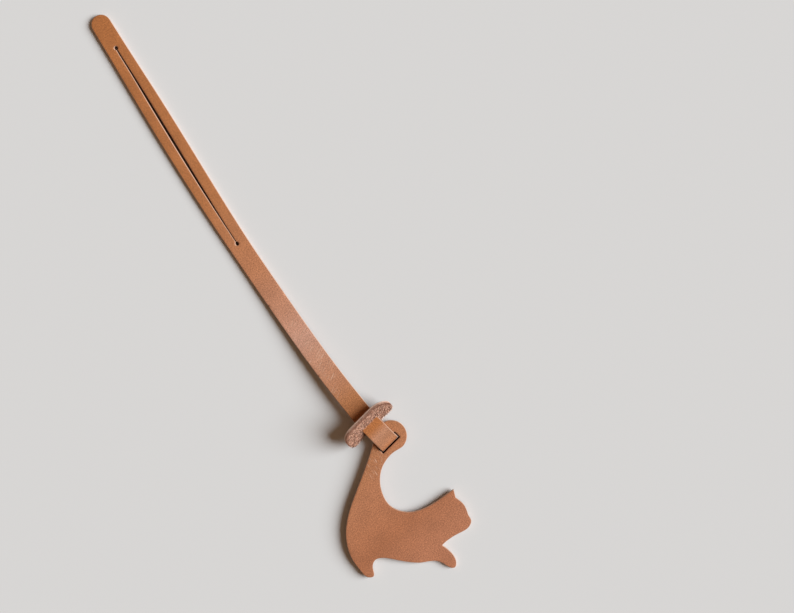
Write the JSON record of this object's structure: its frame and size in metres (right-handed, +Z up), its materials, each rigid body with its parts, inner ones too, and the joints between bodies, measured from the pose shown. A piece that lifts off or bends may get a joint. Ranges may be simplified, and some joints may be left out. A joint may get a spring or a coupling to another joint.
{
  "type": "bookmark",
  "caption": "Leather strap bookmark with a slit end and a flat cat-shaped charm held by the strap's self-locking loop.",
  "frame": {"origin": "on the table under the middle of the loop's flat underside", "axes": "+Y from the loop along the strap towards its rounded end, +Z up from the table, +X completes the frame"},
  "size_m": [0.0871, 0.2634, 0.0107],
  "materials": {
    "strap_leather": "vegetable-tanned, smooth grain side, raw cut edges",
    "charm_leather": "vegetable-tanned, smooth grain side, raw cut edges"
  },
  "bodies": {
    "slit_end": {"strap_rounded_end": "strap_leather", "slit_left_strip": "strap_leather", "slit_right_strip": "strap_leather", "strap_slit_foot": "strap_leather"},
    "middle": {"strap_middle": "strap_leather"},
    "lower": {"strap_lower": "strap_leather"},
    "loop": {"strap_loop": "strap_leather"},
    "charm": {"cat_charm": "charm_leather"}
  },
  "joints": [
    {"name": "strap_bend_upper", "type": "hinge", "parent": "slit_end", "child": "middle", "pos_m": [0.01216, 0.08803, 0.0009], "axis": [-0.9819, 0.1894, 0], "range_deg": [-60, 60], "stiffness_Nm_per_rad": 0.009},
    {"name": "strap_bend_lower", "type": "hinge", "parent": "middle", "child": "lower", "pos_m": [0.00526, 0.04791, 0.0024], "axis": [-0.9888, 0.1493, 0], "range_deg": [-60, 60], "stiffness_Nm_per_rad": 0.009},
    {"name": "loop_bend", "type": "hinge", "parent": "lower", "child": "loop", "pos_m": [0.00123, 0.01819, 0.00432], "axis": [-0.9928, 0.1195, 0], "range_deg": [-60, 60], "stiffness_Nm_per_rad": 0.009},
    {"name": "charm_swing", "type": "hinge", "parent": "loop", "child": "charm", "pos_m": [0, -0.00275, 0.003], "axis": [-1, 0, 0], "range_deg": [-3, 7]}
  ]
}
